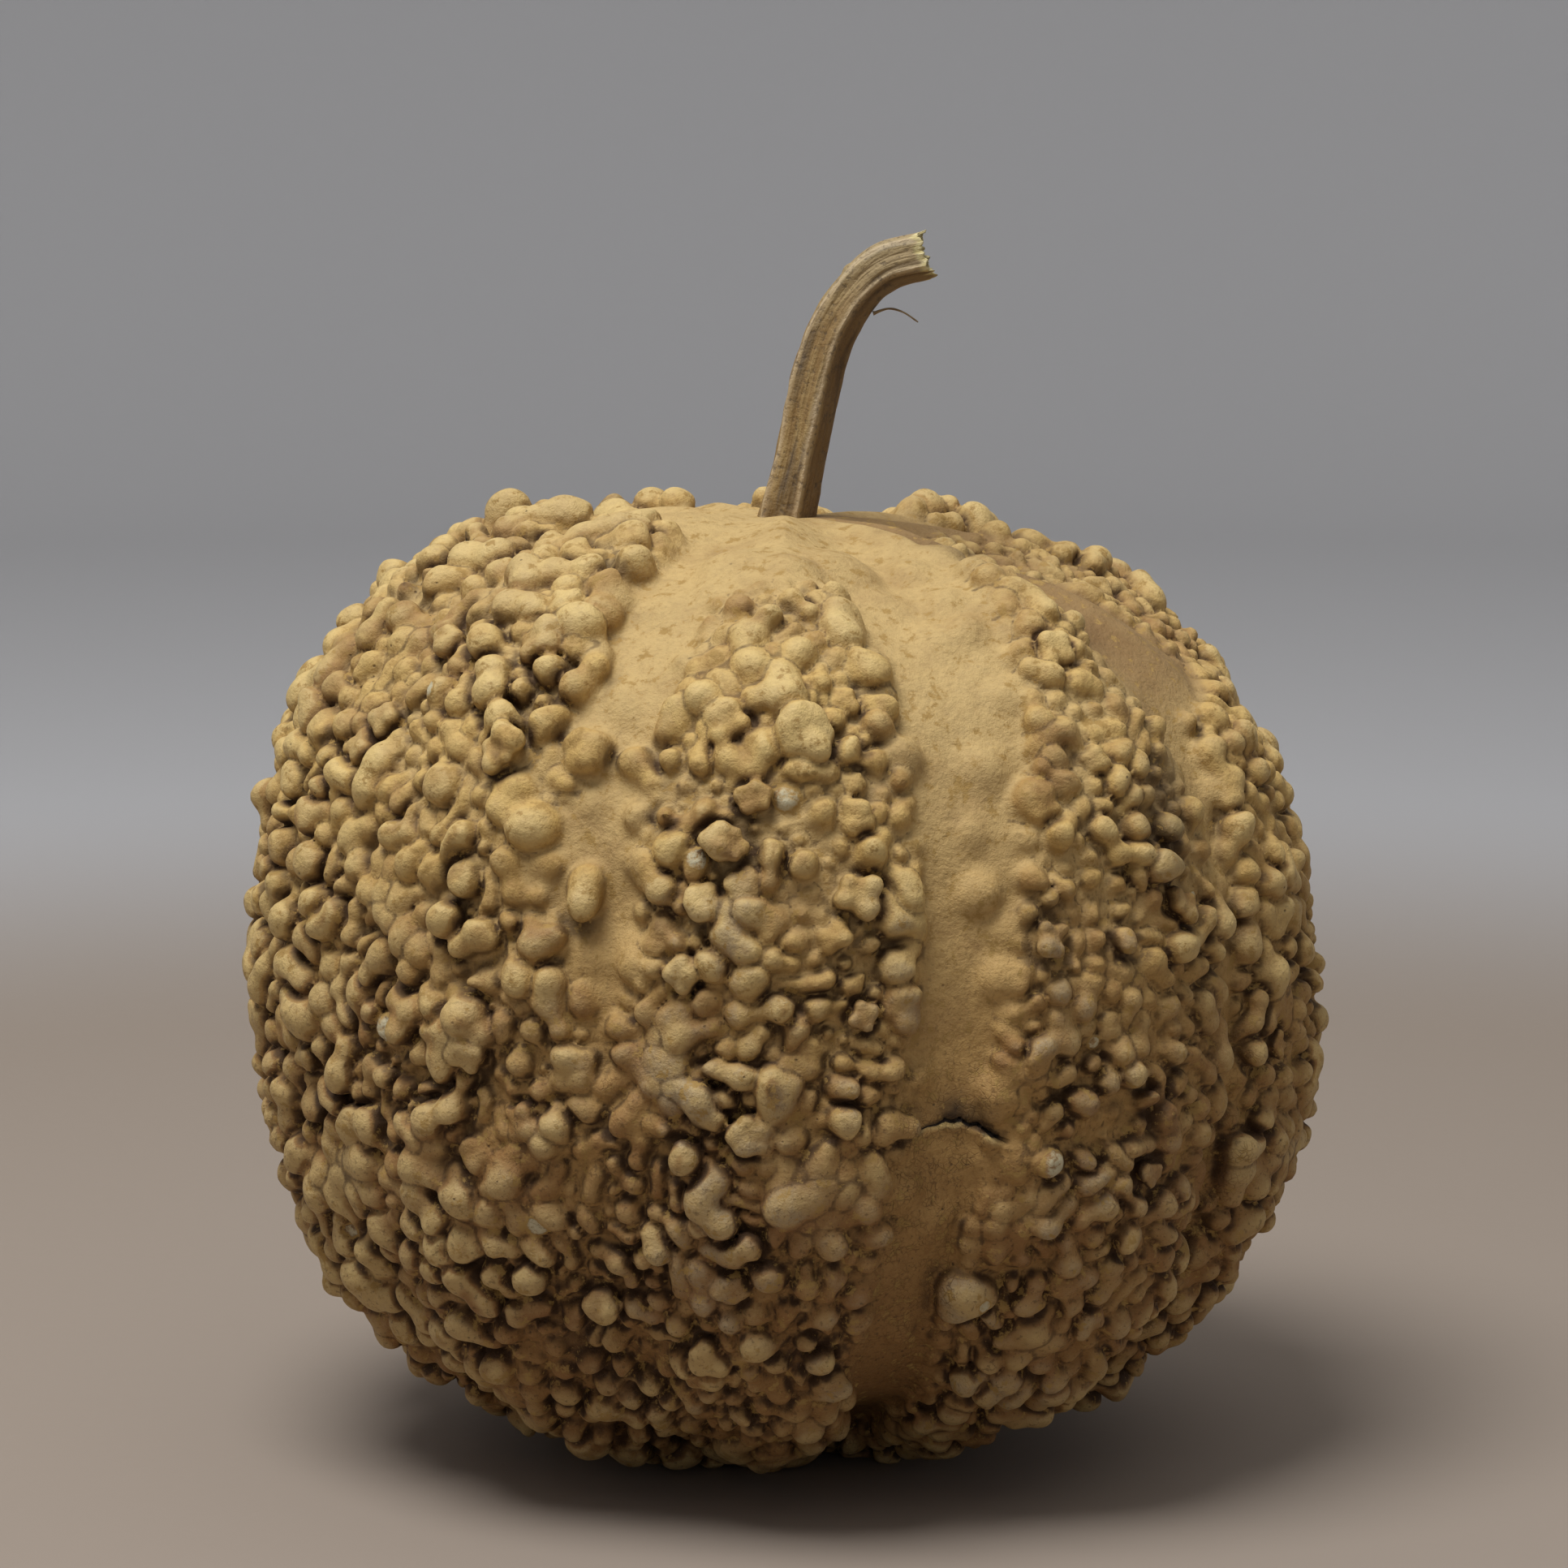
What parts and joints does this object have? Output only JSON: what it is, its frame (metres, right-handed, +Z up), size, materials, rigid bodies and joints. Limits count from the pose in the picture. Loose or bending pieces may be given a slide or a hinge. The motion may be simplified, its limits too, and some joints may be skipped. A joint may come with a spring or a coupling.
{
  "type": "dried gourd",
  "caption": "Round ribbed dried gourd, thickly covered in warts, with a bent angular stem; rests on a small flat spot.",
  "frame": {"origin": "on the surface that the gourd rests on, under the middle of its bounding box", "axes": "+Z up through the stem, -Y the front, +X to the viewer's right, the way the stem's tip points"},
  "size_m": [0.211, 0.2118, 0.2393],
  "materials": {
    "rind": "dry matt rind, tan to ochre, darker in the creases",
    "stem": "dry matt, streaked brown and grey along the ridges",
    "fibre": "dry matt brown strand"
  },
  "bodies": {
    "root": {"fruit": "rind", "stem": "stem", "stem_fibre": "fibre"}
  },
  "joints": []
}
